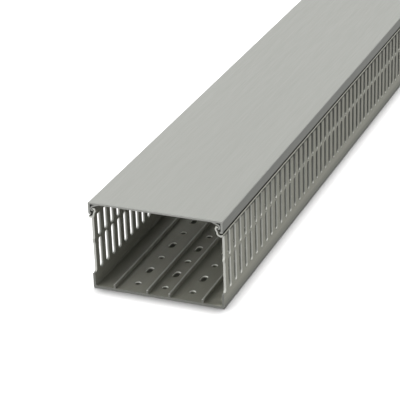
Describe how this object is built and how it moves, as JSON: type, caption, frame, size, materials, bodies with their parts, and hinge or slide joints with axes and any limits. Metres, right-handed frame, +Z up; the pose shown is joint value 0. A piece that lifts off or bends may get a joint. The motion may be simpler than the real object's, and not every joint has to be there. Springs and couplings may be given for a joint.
{
  "type": "slotted wire duct",
  "caption": "Rectangular plastic wiring duct with slotted walls, ribbed and perforated floor, and a flat clip-on cover on hooked rails.",
  "frame": {"origin": "middle of the underside of the floor", "axes": "+Y along the stock, +X across it, +Z up towards the cover"},
  "size_m": [0.12, 1, 0.08],
  "materials": {
    "duct_plastic": "satin",
    "cover_plastic": "satin"
  },
  "bodies": {
    "duct_body": {"duct": "duct_plastic"},
    "cover_body": {"cover": "cover_plastic"}
  },
  "joints": [
    {"name": "cover_slide", "type": "slide", "parent": "duct_body", "child": "cover_body", "axis": [0, 1, 0], "range_m": [0, 1]}
  ]
}
